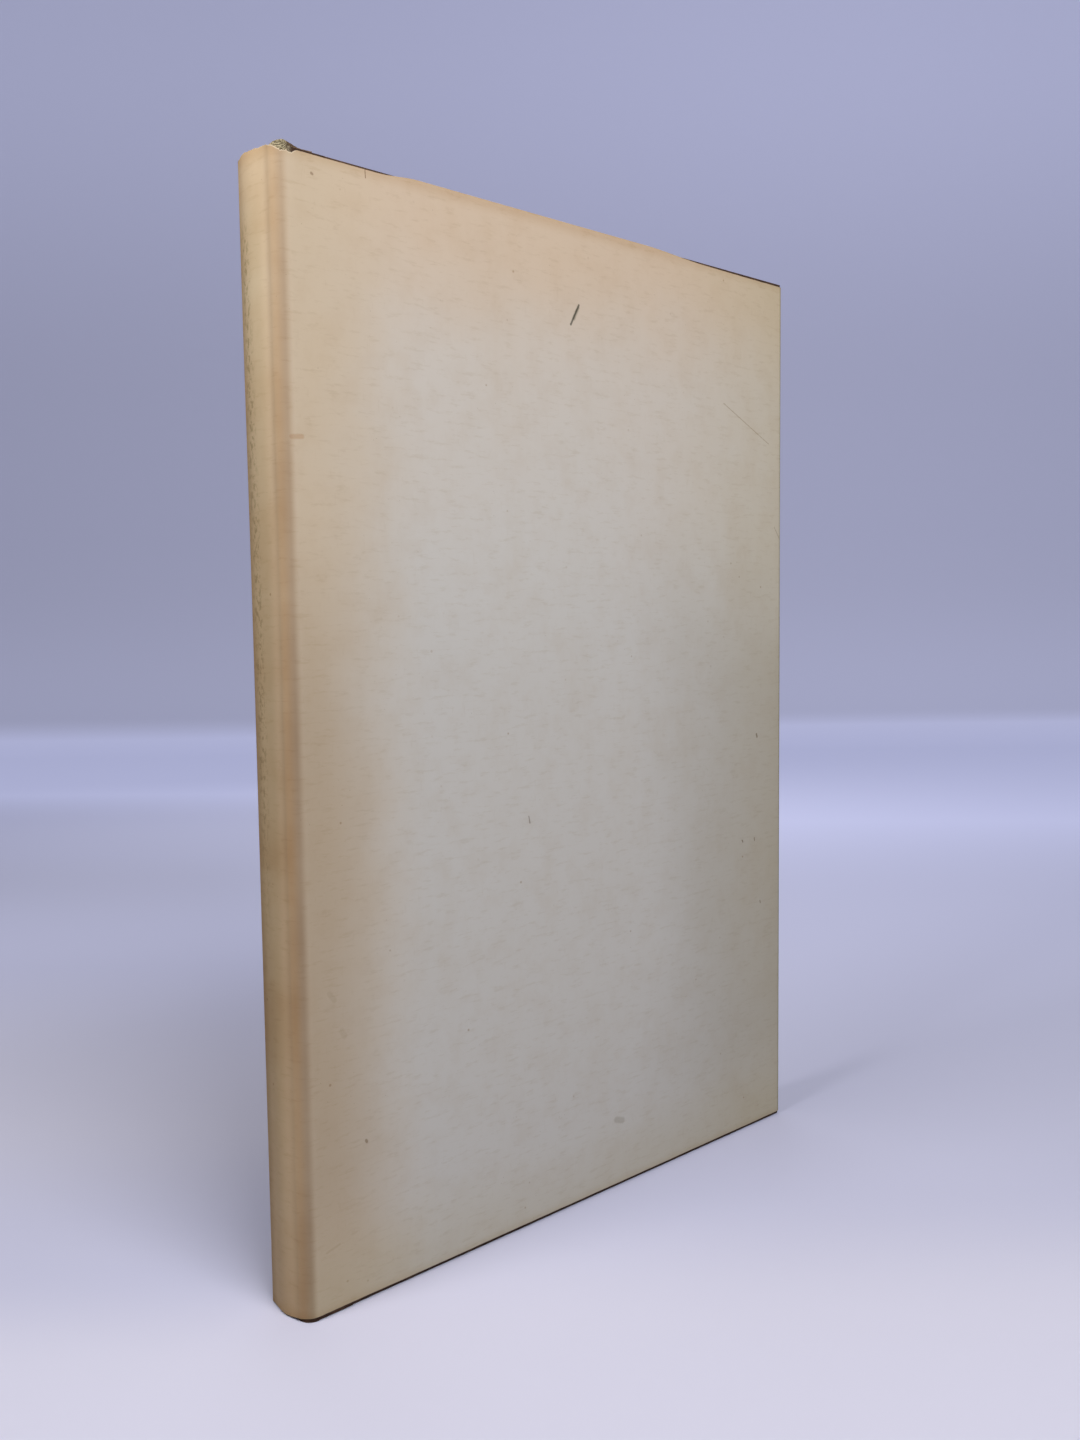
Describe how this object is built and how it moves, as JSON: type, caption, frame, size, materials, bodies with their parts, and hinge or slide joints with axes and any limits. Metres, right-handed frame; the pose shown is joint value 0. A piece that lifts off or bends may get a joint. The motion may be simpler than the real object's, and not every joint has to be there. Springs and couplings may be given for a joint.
{
  "type": "hardback book",
  "caption": "slim case-bound book standing on its tail, in a plain cream paper jacket chipped at the spine head, with covers that open and dark cloth showing at the board edges",
  "frame": {"origin": "the middle of the closed book at the level of its tail edge", "axes": "+X from spine to fore edge, +Y from front cover to rear cover, +Z from tail to head"},
  "size_m": [0.16, 0.0138, 0.2351],
  "materials": {
    "leaves": "uncoated book paper, toned towards the trimmed edges",
    "endpaper": "smooth uncoated paper, slightly toned",
    "jacket": "matte uncoated wrapper paper, tanned, foxed and rubbed",
    "cloth": "dark brown woven book cloth, rubbed at the edges",
    "board": "grey-brown pressed board",
    "gauze": "open starched gauze",
    "lining": "brown wrapping paper",
    "band": "wound thread band"
  },
  "bodies": {
    "book_block": {"text_block": "leaves", "front_endpaper": "endpaper", "rear_endpaper": "endpaper", "mull": "gauze", "spine_lining": "lining", "head_band": "band", "tail_band": "band", "spine_board": "board", "spine_cloth": "cloth", "jacket_spine": "jacket"},
    "front_cover": {"front_board": "board", "front_cloth": "cloth", "front_mull_wing": "gauze", "front_pastedown": "endpaper", "front_jacket": "jacket"},
    "rear_cover": {"rear_board": "board", "rear_cloth": "cloth", "rear_mull_wing": "gauze", "rear_pastedown": "endpaper", "rear_jacket": "jacket"}
  },
  "joints": [
    {"name": "front_cover_hinge", "type": "hinge", "parent": "book_block", "child": "front_cover", "pos_m": [-0.07072, -0.007, 0.1175], "axis": [0, 0, -1], "range_deg": [0, 180]},
    {"name": "rear_cover_hinge", "type": "hinge", "parent": "book_block", "child": "rear_cover", "pos_m": [-0.07072, 0.007, 0.1175], "axis": [0, 0, 1], "range_deg": [0, 180]}
  ]
}
